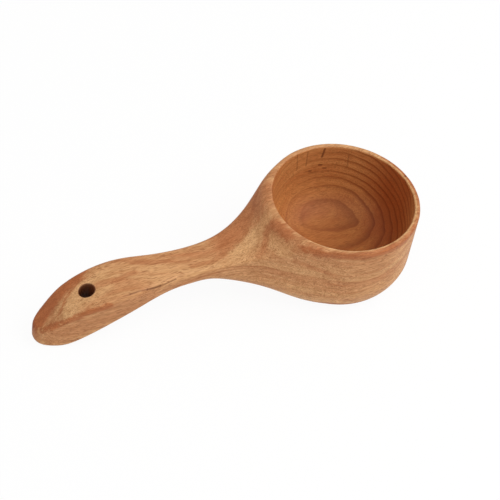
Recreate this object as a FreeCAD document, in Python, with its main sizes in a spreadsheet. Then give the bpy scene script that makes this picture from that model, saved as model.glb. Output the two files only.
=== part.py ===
import FreeCAD, Part
import math
import os

import Sketcher

# Wooden ladle with a round cup and a carved handle, all from one block.
#
# Frame: the foot of the cup stands on z = 0 with the cup's axis on Z, and the handle runs towards -X.
# The handle is carved from two views. Seen from the side it dips behind the rim, runs level and droops
# to the tail, whose underside comes back down to the level of the foot. Seen from above it flares out
# of the cup, narrows to the neck, swells to the palm and closes in a rounded point. Both outlines are
# splines whose poles are named sizes, so the carved faces stay fair when one of them moves.

SIZES = {
    # Cup
    "cup_diameter": 85.0,
    "cup_height": 51.0,
    "rim_wall": 3.3,
    "rim_shoulder": 1.5,
    "foot_inset": 13.5,
    # Bowl inside the cup: a shallow dished floor, a round corner and a wall with a little draft
    "floor_thickness": 9.0,
    "dish_radius": 100.0,
    "corner_radius": 22.0,
    "wall_draft": 3.0,
    "lip_round": 1.0,
    # Handle from the side: neck first, then runs from the cup's wall, from the neck and to the tip.
    # They are given for a handle that reaches station_run past the cup, and stretch with a longer one.
    "total_length": 220.0,
    "station_run": 131.0,
    "neck_run": 47.5,
    "neck_top": 32.6,
    "neck_thickness": 10.6,
    "rim_lead": 4.3,
    "fall_run": 5.7,
    "fall_height": 42.5,
    "dip_run": 20.0,
    "dip_height": 35.6,
    "neck_top_lead": 14.0,
    "palm_top_lead": 19.5,
    "crest_to_tip": 41.4,
    "crest_height": 33.5,
    "droop_to_tip": 11.5,
    "droop_height": 24.6,
    "slope_to_tip": 8.0,
    "slope_height": 14.6,
    "end_top": 5.6,
    "foot_lead": 6.3,
    "root_run": 4.3,
    "root_height": 8.7,
    "arch_run": 20.2,
    "arch_height": 13.7,
    "neck_under_lead": 9.6,
    "palm_under_lead": 17.2,
    "belly_to_tip": 39.5,
    "belly_height": 13.9,
    "sole_to_tip": 16.5,
    "sole_length": 7.5,
    "heel_length": 7.0,
    "end_bottom": 1.2,
    "blank_margin": 8.2,
    # Handle from above: half widths on each side of the middle line
    "flare_angle": 63.0,
    "flare_lead": 9.5,
    "flare_inset": 3.0,
    "flare_side_inset": 16.1,
    "throat_run": 13.0,
    "throat_half_width": 14.8,
    "throat_lead": 17.0,
    "neck_half_width": 10.2,
    "palm_lead": 14.2,
    "palm_to_tip": 51.5,
    "palm_half_width": 14.6,
    "hip_to_tip": 26.5,
    "hip_half_width": 13.5,
    "shoulder_to_tip": 8.0,
    "shoulder_half_width": 9.7,
    "tip_half_width": 5.2,
    # Hanging hole
    "hole_diameter": 8.0,
    "hole_to_tip": 28.0,
    # Sanded edges, below and above, each from the cup by the neck to the tip
    "base_round": 12.0,
    "neck_under_round": 4.6,
    "tip_under_round": 2.8,
    "rim_round": 1.3,
    "neck_round": 3.8,
    "tip_round": 3.2,
}

doc = FreeCAD.newDocument("ladle")
sheet = doc.addObject("Spreadsheet::Sheet", "Sizes")
sheet.Label = "driving dimensions"
for row, (name, value) in enumerate(SIZES.items(), start=1):
    sheet.set("A%d" % row, name)
    sheet.set("B%d" % row, str(value))
    sheet.setAlias("B%d" % row, name)
doc.recompute()


class Formula:
    """A length that knows its number and the formula over the sheet that gives it."""

    def __init__(self, number, text):
        self.number = number
        self.text = text

    def __add__(self, other):
        return Formula(self.number + other.number, "(%s + %s)" % (self.text, other.text))

    def __sub__(self, other):
        return Formula(self.number - other.number, "(%s - %s)" % (self.text, other.text))

    def __mul__(self, other):
        return Formula(self.number * other.number, "(%s * %s)" % (self.text, other.text))

    def __truediv__(self, other):
        return Formula(self.number / other.number, "(%s / %s)" % (self.text, other.text))

    def __neg__(self):
        return Formula(-self.number, "(-%s)" % self.text)


def size(name):
    """One driving dimension, read back from the sheet."""
    return Formula(float(sheet.get(name)), "Sizes.%s" % name)


def number(value):
    """A plain number, for halves and zeros in a formula."""
    return Formula(value, "%g" % value)


def cosine(angle):
    """The cosine of an angle in degrees."""
    return Formula(math.cos(math.radians(angle.number)), "cos(%s)" % angle.text)


def sine(angle):
    """The sine of an angle in degrees."""
    return Formula(math.sin(math.radians(angle.number)), "sin(%s)" % angle.text)


def vector(point):
    return FreeCAD.Vector(point[0].number, point[1].number, 0)


def origin_plane(body, role):
    return [feature for feature in body.Origin.OriginFeatures if feature.Role == role][0]


def new_sketch(body, name, role):
    """An empty sketch on one of the body's own origin planes."""
    sketch = body.newObject("Sketcher::SketchObject", name)
    sketch.AttachmentSupport = (origin_plane(body, role), [""])
    sketch.MapMode = "FlatFace"
    return sketch


def hold(sketch, kind, geometry, position, formula):
    """Hold one coordinate of a point of a sketch at a formula's value."""
    constraint = sketch.addConstraint(
        Sketcher.Constraint(kind, -1, 1, geometry, position, formula.number))
    sketch.setExpression("Constraints[%d]" % constraint, formula.text)


def place(sketch, geometry, position, point):
    """Hold one point of a sketch at a place given by two formulas."""
    hold(sketch, "DistanceX", geometry, position, point[0])
    hold(sketch, "DistanceY", geometry, position, point[1])


def join(sketch, first, first_position, second, second_position):
    sketch.addConstraint(
        Sketcher.Constraint("Coincident", first, first_position, second, second_position))


# Point positions on sketch geometry
START, END, CENTRE = 1, 2, 3

# Equal numbers differ by less than FINE, and a face that meets a side at an edge tilts by more than SHARP
FINE = 1e-6
SHARP = 0.1


def add_spline(sketch, poles, held):
    """A cubic spline through its end poles, each pole in held kept where its formulas say.

    A pole that is left out of held is one that a neighbour already holds by its own end.
    """
    curve = Part.BSplineCurve()
    spans = len(poles) - 3
    knots = [float(index) for index in range(spans + 1)]
    multiplicities = [4] + [1] * (spans - 1) + [4]
    curve.buildFromPolesMultsKnots([vector(pole) for pole in poles], multiplicities, knots, False, 3)
    spline = sketch.addGeometry(curve, False)
    for index, pole in enumerate(poles):
        circle = Part.Circle(vector(pole), FreeCAD.Vector(0, 0, 1), 1.0)
        marker = sketch.addGeometry(circle, True)
        sketch.addConstraint(Sketcher.Constraint("Weight", marker, 1.0))
        sketch.addConstraint(Sketcher.Constraint(
            "InternalAlignment:Sketcher::BSplineControlPoint", marker, CENTRE, spline, index))
        if index in held:
            place(sketch, marker, CENTRE, pole)
    return spline


def add_line(sketch, start, end):
    return sketch.addGeometry(Part.LineSegment(vector(start), vector(end)), False)


def add_arc(sketch, centre, radius, start_angle, end_angle):
    """An arc of a given radius, counterclockwise between two angles in radians."""
    circle = Part.Circle(vector(centre), FreeCAD.Vector(0, 0, 1), radius.number)
    geometry = sketch.addGeometry(Part.ArcOfCircle(circle, start_angle, end_angle), False)
    constraint = sketch.addConstraint(Sketcher.Constraint("Radius", geometry, radius.number))
    sketch.setExpression("Constraints[%d]" % constraint, radius.text)
    return geometry


def smooth(sketch, first, first_position, second, second_position):
    """Join two ends so that the outline runs on without a corner."""
    sketch.addConstraint(
        Sketcher.Constraint("Tangent", first, first_position, second, second_position))


def add_circle(sketch, centre, radius):
    """A circle of a given radius. Its centre is left for the caller to hold."""
    circle = Part.Circle(vector(centre), FreeCAD.Vector(0, 0, 1), radius.number)
    geometry = sketch.addGeometry(circle, False)
    constraint = sketch.addConstraint(Sketcher.Constraint("Radius", geometry, radius.number))
    sketch.setExpression("Constraints[%d]" % constraint, radius.text)
    return geometry


zero = number(0)
half = number(0.5)
cup_radius = size("cup_diameter") * half
tip_reach = size("total_length") - cup_radius
stretch = (tip_reach - cup_radius) / size("station_run")


def run(name):
    """A run along the handle, stretched with the handle's length."""
    return size(name) * stretch


body = doc.addObject("PartDesign::Body", "Blank")
body.Label = "turned and carved blank"

# Side view, turned about the cup's axis: bowl, rim, top of the handle, underside and foot.
side = new_sketch(body, "SideView", "XZ_Plane")
neck = cup_radius + run("neck_run")
neck_top = size("neck_top")
neck_bottom = neck_top - size("neck_thickness")
bowl_radius = cup_radius - size("rim_wall")
foot_radius = cup_radius - size("foot_inset")
shoulder_radius = cup_radius - size("rim_shoulder")
lip_round = size("lip_round")
lip_centre = (bowl_radius + lip_round, size("cup_height") - lip_round)
blank_reach = tip_reach + size("blank_margin")
sole_start = tip_reach - run("sole_to_tip")
sole_end = sole_start + run("sole_length")
top_poles = [
    (shoulder_radius, size("cup_height")),
    (shoulder_radius + size("rim_lead"), size("cup_height")),
    (cup_radius + run("fall_run"), size("fall_height")),
    (cup_radius + run("dip_run"), size("dip_height")),
    (neck - run("neck_top_lead"), neck_top),
    (neck, neck_top),
    (neck + run("palm_top_lead"), neck_top),
    (tip_reach - run("crest_to_tip"), size("crest_height")),
    (tip_reach - run("droop_to_tip"), size("droop_height")),
    (tip_reach - run("slope_to_tip"), size("slope_height")),
    (blank_reach, size("end_top")),
]
under_poles = [
    (blank_reach, size("end_bottom")),
    (sole_end + run("heel_length"), zero),
    (sole_end, zero),
    (sole_start, zero),
    (tip_reach - run("belly_to_tip"), size("belly_height")),
    (neck + run("palm_under_lead"), neck_bottom),
    (neck, neck_bottom),
    (neck - run("neck_under_lead"), neck_bottom),
    (cup_radius + run("arch_run"), size("arch_height")),
    (cup_radius + run("root_run"), size("root_height")),
    (foot_radius + size("foot_lead"), zero),
    (foot_radius, zero),
]
foot_centre = (zero, zero)
floor_centre = (zero, size("floor_thickness"))
dish_centre = (zero, size("floor_thickness") + size("dish_radius"))

# The bowl's arcs are drawn near their places and then held by tangency: floor, corner and wall.
corner_radius = size("corner_radius")
draft = math.radians(size("wall_draft").number)
dish_gap = size("dish_radius").number - corner_radius.number
corner_x = bowl_radius.number - corner_radius.number
corner_x -= draft * (lip_centre[1].number - size("floor_thickness").number - corner_radius.number)
corner_z = dish_centre[1].number - math.sqrt(dish_gap ** 2 - corner_x ** 2)
corner_start = math.atan2(corner_z - dish_centre[1].number, corner_x)
wall_foot = (number(corner_x + corner_radius.number), number(corner_z))

dish = add_arc(side, dish_centre, size("dish_radius"), -math.pi / 2, corner_start)
corner = add_arc(side, (number(corner_x), number(corner_z)), corner_radius, corner_start, -draft)
wall = add_line(side, wall_foot, (bowl_radius, lip_centre[1]))
lip = add_arc(side, lip_centre, lip_round, math.pi / 2, math.pi)
rim = add_line(side, (lip_centre[0], size("cup_height")), top_poles[0])
top = add_spline(side, top_poles, range(len(top_poles)))
blank_edge = add_line(side, top_poles[-1], under_poles[0])
under = add_spline(side, under_poles, range(len(under_poles)))
foot = add_line(side, under_poles[-1], foot_centre)
axis = add_line(side, foot_centre, floor_centre)
chain = [rim, top, blank_edge, under, foot, axis, dish]
for first, second in zip(chain, chain[1:]):
    join(side, first, END, second, START)
join(side, wall, END, lip, END)
join(side, lip, START, rim, START)
smooth(side, dish, END, corner, START)
smooth(side, corner, END, wall, START)
place(side, foot, END, foot_centre)
place(side, dish, CENTRE, dish_centre)
place(side, lip, CENTRE, lip_centre)
hold(side, "DistanceX", axis, END, zero)
hold(side, "DistanceX", rim, START, lip_centre[0])
hold(side, "DistanceY", wall, END, lip_centre[1])
lean = side.addConstraint(Sketcher.Constraint("Angle", wall, math.pi / 2 - draft))
side.setExpression("Constraints[%d]" % lean, "90 - Sizes.wall_draft")

turning = body.newObject("PartDesign::Revolution", "Turning")
turning.Profile = side
turning.ReferenceAxis = (side, ["V_Axis"])
turning.Angle = 360
doc.recompute()

# View from above: what lies outside the cup's circle and the handle's two sides is cut away.
plan = new_sketch(body, "PlanView", "XY_Plane")
angle = size("flare_angle")
lead = size("flare_lead")
leave_x = -(cup_radius * cosine(angle))
neck_x = -neck
tip_x = -tip_reach


def add_handle_side(sign):
    """One side of the handle, from the cup's circle by the neck to the tip.

    Returns the two splines. The second ends on the middle line.
    """
    leave_y = sign * cup_radius * sine(angle)
    neck_y = sign * size("neck_half_width")
    flare_poles = [
        (leave_x, leave_y),
        (leave_x - lead * sine(angle), leave_y - sign * lead * cosine(angle)),
        (size("flare_inset") - cup_radius, sign * (cup_radius - size("flare_side_inset"))),
        (-(cup_radius + run("throat_run")), sign * size("throat_half_width")),
        (neck_x + run("throat_lead"), neck_y),
        (neck_x, neck_y),
    ]
    palm_poles = [
        (neck_x, neck_y),
        (neck_x - run("palm_lead"), neck_y),
        (tip_x + run("palm_to_tip"), sign * size("palm_half_width")),
        (tip_x + run("hip_to_tip"), sign * size("hip_half_width")),
        (tip_x + run("shoulder_to_tip"), sign * size("shoulder_half_width")),
        (tip_x, sign * size("tip_half_width")),
        (tip_x, zero),
    ]
    flare = add_spline(plan, flare_poles, range(1, len(flare_poles)))
    palm = add_spline(plan, palm_poles, range(1, len(palm_poles) - 1))
    join(plan, flare, END, palm, START)
    hold(plan, "DistanceY", flare, START, leave_y)
    return flare, palm


left_flare, left_palm = add_handle_side(number(1))
right_flare, right_palm = add_handle_side(number(-1))
place(plan, left_palm, END, (tip_x, zero))
join(plan, left_palm, END, right_palm, END)
hold(plan, "DistanceX", left_flare, START, leave_x)
up = FreeCAD.Vector(0, 0, 1)
leave_angle = math.pi - math.radians(angle.number)
cup_circle = Part.Circle(FreeCAD.Vector(0, 0, 0), up, cup_radius.number)
cup_arc = plan.addGeometry(Part.ArcOfCircle(cup_circle, -leave_angle, leave_angle), False)
join(plan, cup_arc, CENTRE, -1, START)
join(plan, cup_arc, END, left_flare, START)
join(plan, cup_arc, START, right_flare, START)
blank_circle = add_circle(plan, (zero, zero), size("total_length"))
join(plan, blank_circle, CENTRE, -1, START)

sawing = body.newObject("PartDesign::Pocket", "Sawing")
sawing.Profile = plan
sawing.Type = "ThroughAll"
sawing.Midplane = True
doc.recompute()

# Hanging hole, bored straight down through the tail.
hole_centre = (tip_x + run("hole_to_tip"), zero)
hole_radius = size("hole_diameter") * half
hole_plan = new_sketch(body, "HolePlan", "XY_Plane")
hole_circle = add_circle(hole_plan, hole_centre, hole_radius)
place(hole_plan, hole_circle, CENTRE, hole_centre)

boring = body.newObject("PartDesign::Pocket", "Boring")
boring.Profile = hole_plan
boring.Type = "ThroughAll"
boring.Midplane = True
doc.recompute()


def is_bore(face):
    """Whether a face is the wall of the hanging hole."""
    surface = face.Surface
    return isinstance(surface, Part.Cylinder) and abs(surface.Radius - hole_radius.number) < FINE


def is_side(face):
    """Whether a face is one of the upright sawn sides."""
    u_low, u_high, v_low, v_high = face.ParameterRange
    normal = face.normalAt((u_low + u_high) / 2, (v_low + v_high) / 2)
    return abs(normal.z) < FINE and not is_bore(face)


def side_edges(shape, facing):
    """The sharp edges where a sawn side meets a face that looks up (1) or down (-1)."""
    found = []
    for index, edge in enumerate(shape.Edges, start=1):
        faces = shape.ancestorsOfType(edge, Part.Face)
        others = [face for face in faces if not is_side(face)]
        if len(faces) != 2 or len(others) != 1:
            continue
        middle = edge.valueAt((edge.FirstParameter + edge.LastParameter) / 2)
        normal = others[0].normalAt(*others[0].Surface.parameter(middle))
        if normal.z * facing > SHARP and not is_bore(others[0]):
            found.append((index, edge))
    return found


def clockwise_ends(edge):
    """The ends of an edge in the order met going clockwise round the outline, seen from above."""
    first = edge.Vertexes[0].Point
    last = edge.Vertexes[-1].Point
    turn = (first.x - last.x) * (first.y + last.y) / 2
    return (first, last) if turn < 0 else (last, first)


def radius_at(point, at_cup, at_neck, at_tip):
    """The rounding's radius at a point, straight between its three stations along the handle."""
    cup_x = leave_x.number
    middle_x = neck_x.number
    end_x = tip_x.number
    if point.x >= middle_x:
        share = min(1, max(0, (cup_x - point.x) / (cup_x - middle_x)))
        return at_cup + (at_neck - at_cup) * share
    share = min(1, (middle_x - point.x) / (middle_x - end_x))
    return at_neck + (at_tip - at_neck) * share


def add_rounding(name, base, facing, radii):
    """Round a whole ring of side edges, with radii for the cup, the neck and the tip."""
    rounding = doc.addObject("Part::Fillet", name)
    rounding.Base = base
    rounding.Edges = [
        (index, *[radius_at(end, *radii) for end in clockwise_ends(edge)])
        for index, edge in side_edges(base.Shape, facing)
    ]
    doc.recompute()
    return rounding


under_radii = [size(name).number for name in ("base_round", "neck_under_round", "tip_under_round")]
over_radii = [size(name).number for name in ("rim_round", "neck_round", "tip_round")]
under_rounding = add_rounding("UnderRounding", body, -1, under_radii)
ladle = add_rounding("OverRounding", under_rounding, 1, over_radii)
ladle.Label = "ladle"

for item in doc.Objects:
    if "Invalid" in item.State or "Error" in item.State:
        raise ValueError("%s did not build: %s" % (item.Name, item.State))
steps = [turning, sawing, boring, under_rounding, ladle]
for earlier, later in zip(steps, steps[1:]):
    if not later.Shape.Volume < earlier.Shape.Volume:
        raise ValueError("%s took no wood away" % later.Name)
if ladle.Shape.isNull() or not ladle.Shape.isValid() or len(ladle.Shape.Solids) != 1:
    raise ValueError("the ladle is not one sound solid")

os.makedirs("parts", exist_ok=True)
ladle.Shape.exportStep("parts/%s.step" % ladle.Label)
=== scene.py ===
"""A sauna ladle carved from one block of beech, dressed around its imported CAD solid.

The cup and handle are made again here as one fine, even mesh from the solid's own curves, with crisper
ridges and a softer foot, so that light runs smoothly over the carved faces. All lengths inside the
classes are millimetres in the part's frame, where they don't say metres: the foot's centre is the
origin, Z goes up along the cup's axis and the handle runs towards -X.
"""

import logging
import math
from dataclasses import dataclass, field
from enum import Enum

import bpy
import numpy as np
from mathutils import Matrix, Vector

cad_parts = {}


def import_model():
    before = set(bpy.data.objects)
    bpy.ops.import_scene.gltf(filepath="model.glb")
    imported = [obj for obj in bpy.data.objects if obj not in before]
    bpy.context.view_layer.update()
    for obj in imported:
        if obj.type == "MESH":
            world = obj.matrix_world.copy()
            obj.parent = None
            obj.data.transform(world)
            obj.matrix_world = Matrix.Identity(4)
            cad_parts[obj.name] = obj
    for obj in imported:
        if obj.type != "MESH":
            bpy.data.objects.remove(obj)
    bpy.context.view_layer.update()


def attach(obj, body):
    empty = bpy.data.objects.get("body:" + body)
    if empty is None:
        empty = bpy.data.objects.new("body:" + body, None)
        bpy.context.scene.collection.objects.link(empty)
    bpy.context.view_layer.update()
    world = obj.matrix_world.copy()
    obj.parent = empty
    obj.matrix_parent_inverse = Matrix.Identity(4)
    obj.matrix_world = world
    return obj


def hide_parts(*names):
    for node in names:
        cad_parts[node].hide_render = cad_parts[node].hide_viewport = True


LOG = logging.getLogger("ladle")
MM = 0.001


class Face(Enum):
    """Which edges of the sawn sides are meant, the upper or the lower ones."""

    OVER = 1
    UNDER = -1


def spline_points(poles: list[tuple[float, float]], per_span: int = 48) -> np.ndarray:
    """Points along a clamped uniform cubic B-spline.

    Args:
        poles: The spline's control points.
        per_span: How many points each of its spans gets.

    Returns:
        An array of points, from the first pole to the last.
    """
    control = np.array(poles, float)
    spans = len(control) - 3
    knots = np.concatenate([[0] * 3, np.arange(spans + 1), [spans] * 3]).astype(float)
    points = []
    for at in np.linspace(0, spans, spans * per_span + 1):
        span = min(int(at), spans - 1) + 3
        local = control[span - 3:span + 1].copy()
        for level in range(1, 4):
            for index in range(3, level - 1, -1):
                low = knots[index + span - 3]
                share = (at - low) / (knots[index + 1 + span - level] - low)
                local[index] = (1 - share) * local[index - 1] + share * local[index]
        points.append(local[3])
    return np.array(points)


def arc_points(centre: tuple[float, float], radius: float, start: float, end: float,
               count: int = 24) -> np.ndarray:
    """Points along an arc.

    Args:
        centre: The arc's centre.
        radius: Its radius.
        start: The angle that it starts at, in radians.
        end: The angle that it ends at, in radians.
        count: How many points it gets.

    Returns:
        An array of points.
    """
    angles = np.linspace(start, end, count)
    return np.stack([centre[0] + radius * np.cos(angles), centre[1] + radius * np.sin(angles)], axis=1)


@dataclass
class DistanceMap:
    """Signed distances to a closed outline on a flat grid, negative inside.

    Attributes:
        outline: The outline's points, in order round it.
        low: The grid's lowest corner.
        high: The grid's highest corner.
        step: The grid's spacing.
        table: The distances at the grid's points.
    """

    outline: np.ndarray
    low: tuple[float, float]
    high: tuple[float, float]
    step: float = 0.5
    table: np.ndarray = field(init=False)

    def __post_init__(self) -> None:
        """Measure every grid point against every side of the outline."""
        columns = [np.arange(low, high + self.step, self.step) for low, high in zip(self.low, self.high)]
        grid = np.stack(np.meshgrid(*columns, indexing="ij"), axis=-1)
        flat = grid.reshape(-1, 2)
        nearest = np.full(len(flat), np.inf)
        inside = np.zeros(len(flat), bool)
        for start, end in zip(self.outline, np.roll(self.outline, -1, axis=0)):
            side = end - start
            length = float(side @ side)
            if length == 0:
                continue
            offset = flat - start
            share = np.clip(offset @ side / length, 0, 1)
            gap = offset - share[:, None] * side
            nearest = np.minimum(nearest, np.einsum("ij,ij->i", gap, gap))
            if start[1] != end[1]:
                spans = (start[1] > flat[:, 1]) != (end[1] > flat[:, 1])
                crossing = start[0] + (flat[:, 1] - start[1]) * side[0] / side[1]
                inside ^= spans & (flat[:, 0] < crossing)
        signed = np.sqrt(nearest) * np.where(inside, -1, 1)
        self.table = signed.reshape(grid.shape[:2])

    def at(self, first: np.ndarray, second: np.ndarray) -> np.ndarray:
        """The distance at any points, read between the grid's own.

        Args:
            first: The points' first coordinates.
            second: The points' second coordinates.

        Returns:
            Their signed distances.
        """
        rows, columns = self.table.shape
        u = np.clip((first - self.low[0]) / self.step, 0, rows - 1.001)
        v = np.clip((second - self.low[1]) / self.step, 0, columns - 1.001)
        row, column = u.astype(int), v.astype(int)
        u, v = u - row, v - column
        near = self.table[row, column] * (1 - v) + self.table[row, column + 1] * v
        far = self.table[row + 1, column] * (1 - v) + self.table[row + 1, column + 1] * v
        return near * (1 - u) + far * u


def rounded_both(first: np.ndarray, second: np.ndarray, radius: np.ndarray | float) -> np.ndarray:
    """What lies inside two shapes, with the edge where they meet rounded.

    Args:
        first: Signed distances to one shape.
        second: Signed distances to the other.
        radius: The edge's radius.

    Returns:
        Signed distances to the rounded shape.
    """
    over_first = np.maximum(radius + first, 0)
    over_second = np.maximum(radius + second, 0)
    inner = np.minimum(-radius, np.maximum(first, second))
    return inner + np.hypot(over_first, over_second)


@dataclass
class CarvedForm:
    """The ladle's shape, from a turned side view, a sawn plan view, a bowl and a bored hole.

    Attributes:
        cup_radius: The cup's outer radius.
        cup_height: The rim's height.
        reach: How far the tail's tip is from the cup's axis.
        top_poles: Side view of rim and handle top, as distance from the cup's axis and height.
        under_poles: Side view of the underside, from the tip back to the foot.
        flare_poles: Plan view from the cup to the neck, as distance along and half width.
        palm_poles: Plan view from the neck to the tip.
        bowl_corner: Centre of the bowl's round corner, in the side view.
        corner_radius: The corner's radius.
        dish_radius: Radius of the dished floor.
        floor: Height of the floor's middle.
        bowl_radius: The bowl's radius at the lip.
        draft: How far the bowl's wall leans out, in degrees.
        lip_round: Radius of the eased inner edge of the rim.
        hole_at: Where the hanging hole is along X.
        hole_radius: Its radius.
        hole_round: Radius of its eased mouths.
        stations: Where along X the roundings' radii are given: cup, neck and tip.
        over_radii: Roundings of the upper edges at the stations, crisper than the solid's.
        under_radii: Roundings of the lower edges at the stations.
        seam: Side view of the line between upper and lower edges, as distances and heights.
        beyond: A place past the cup's axis, where the outlines are closed.
        headroom: How far over the rim the bowl's outline goes on.
        side_window: Lowest and highest corner of what is measured in the side view.
        plan_window: The same in the plan view.
        bowl_window: The same round the bowl.
        side_map: Distances to the side view.
        plan_map: Distances to the plan view.
        bowl_map: Distances to the bowl.
    """

    cup_radius: float = 42.5
    cup_height: float = 51.0
    reach: float = 177.5
    top_poles: tuple = ((41, 51), (45.3, 51), (48.37, 42.5), (63.11, 35.6), (77.02, 32.6), (91.45, 32.6),
                        (111.55, 32.6), (134.84, 33.5), (165.65, 24.6), (169.26, 14.6), (185.7, 5.6))
    under_poles: tuple = ((185.7, 1.2), (175.44, 0), (168.23, 0), (160.5, 0), (136.79, 13.9),
                          (109.18, 22), (91.45, 22), (81.56, 22), (63.32, 13.7), (46.93, 8.7),
                          (35.3, 0), (29, 0))
    flare_poles: tuple = ((19.29, 37.87), (27.76, 33.55), (39.5, 26.4), (55.9, 14.8), (73.93, 10.2),
                          (91.45, 10.2))
    palm_poles: tuple = ((91.45, 10.2), (106.08, 10.2), (124.43, 14.6), (150.19, 13.5), (169.26, 9.7),
                         (177.5, 5.2), (177.5, 0))
    bowl_corner: tuple = (16.2, 32.72)
    corner_radius: float = 22.0
    dish_radius: float = 100.0
    floor: float = 9.0
    bowl_radius: float = 39.2
    draft: float = 3.0
    lip_round: float = 1.0
    hole_at: float = -148.65
    hole_radius: float = 4.0
    hole_round: float = 0.8
    stations: tuple = (-19.29, -91.45, -177.5)
    over_radii: tuple = (1.3, 3.0, 1.5)
    under_radii: tuple = (12.0, 4.6, 2.8)
    seam: tuple = ((43, 62, 90, 135, 165, 178), (24, 24, 27.3, 22, 8, 5.5))
    beyond: float = -60.0
    headroom: float = 14.0
    side_window: tuple = ((-1.0, -4.0), (184.0, 56.0))
    plan_window: tuple = ((-183.0, -1.0), (48.0, 48.0))
    bowl_window: tuple = ((-1.0, -4.0), (60.0, 56.0))
    side_map: DistanceMap = field(init=False)
    plan_map: DistanceMap = field(init=False)
    bowl_map: DistanceMap = field(init=False)

    def __post_init__(self) -> None:
        """Draw the three outlines and measure round them."""
        side = np.concatenate([
            spline_points(self.top_poles), spline_points(self.under_poles),
            [(self.beyond, 0.0), (self.beyond, self.cup_height)]])
        self.side_map = DistanceMap(side, *self.side_window)
        leave = math.acos(self.flare_poles[0][0] / self.cup_radius)
        rear = arc_points((0, 0), self.cup_radius, 0, math.pi - leave, 90)
        flare, palm = (spline_points(poles) * (-1, 1) for poles in (self.flare_poles, self.palm_poles))
        upper = np.concatenate([rear, flare[1:], palm[1:]])
        plan = np.concatenate([upper, (upper * (1, -1))[::-1][1:-1]])
        self.plan_map = DistanceMap(plan, *self.plan_window)
        lean = math.radians(self.draft)
        tangent = math.atan2(self.bowl_corner[1] - self.floor - self.dish_radius, self.bowl_corner[0])
        dish = arc_points((0, self.floor + self.dish_radius), self.dish_radius, -math.pi / 2, tangent)
        corner = arc_points(self.bowl_corner, self.corner_radius, tangent, -lean, 40)
        above = self.cup_height + self.headroom
        spread = (self.headroom + self.lip_round) * math.tan(lean)
        bowl = np.concatenate([dish, corner[1:], [
            (self.bowl_radius + spread, above), (self.beyond, above), (self.beyond, self.floor)]])
        self.bowl_map = DistanceMap(bowl, *self.bowl_window)

    def rounding(self, along: np.ndarray, face: Face) -> np.ndarray:
        """The radius of the sawn sides' edges along the ladle.

        Args:
            along: Places along X.
            face: The upper or the lower edge.

        Returns:
            The radii there.
        """
        radii = self.over_radii if face is Face.OVER else self.under_radii
        return np.interp(-along, [-place for place in self.stations], radii)

    def distance(self, points: np.ndarray) -> np.ndarray:
        """Signed distances to the ladle's surface, negative in the wood.

        Args:
            points: Points in millimetres, one a row.

        Returns:
            One distance a point.
        """
        x, y, z = points.T
        radial = np.hypot(x, y)
        turned = self.side_map.at(radial, z)
        sawn = self.plan_map.at(x, np.abs(y))
        upper = rounded_both(turned, sawn, self.rounding(x, Face.OVER))
        lower = rounded_both(turned, sawn, self.rounding(x, Face.UNDER))
        solid = np.where(z > np.interp(radial, *self.seam), upper, lower)
        hollow = self.bowl_map.at(radial, z)
        by_bowl = radial < self.cup_radius + 2
        solid = np.where(by_bowl, rounded_both(solid, -hollow, self.lip_round), solid)
        bore = self.hole_radius - np.hypot(x - self.hole_at, y)
        by_hole = x < self.hole_at + 5 * self.hole_radius
        return np.where(by_hole, rounded_both(solid, bore, self.hole_round), solid)

    def slope(self, points: np.ndarray, reach: float = 0.15) -> np.ndarray:
        """The direction in which the distance grows, which is the surface's normal.

        Args:
            points: Points in millimetres.
            reach: How far to each side the distance is compared.

        Returns:
            One vector a point.
        """
        columns = []
        for axis in range(3):
            step = np.zeros(3)
            step[axis] = reach
            columns.append((self.distance(points + step) - self.distance(points - step)) / (2 * reach))
        return np.stack(columns, axis=1)


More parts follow.
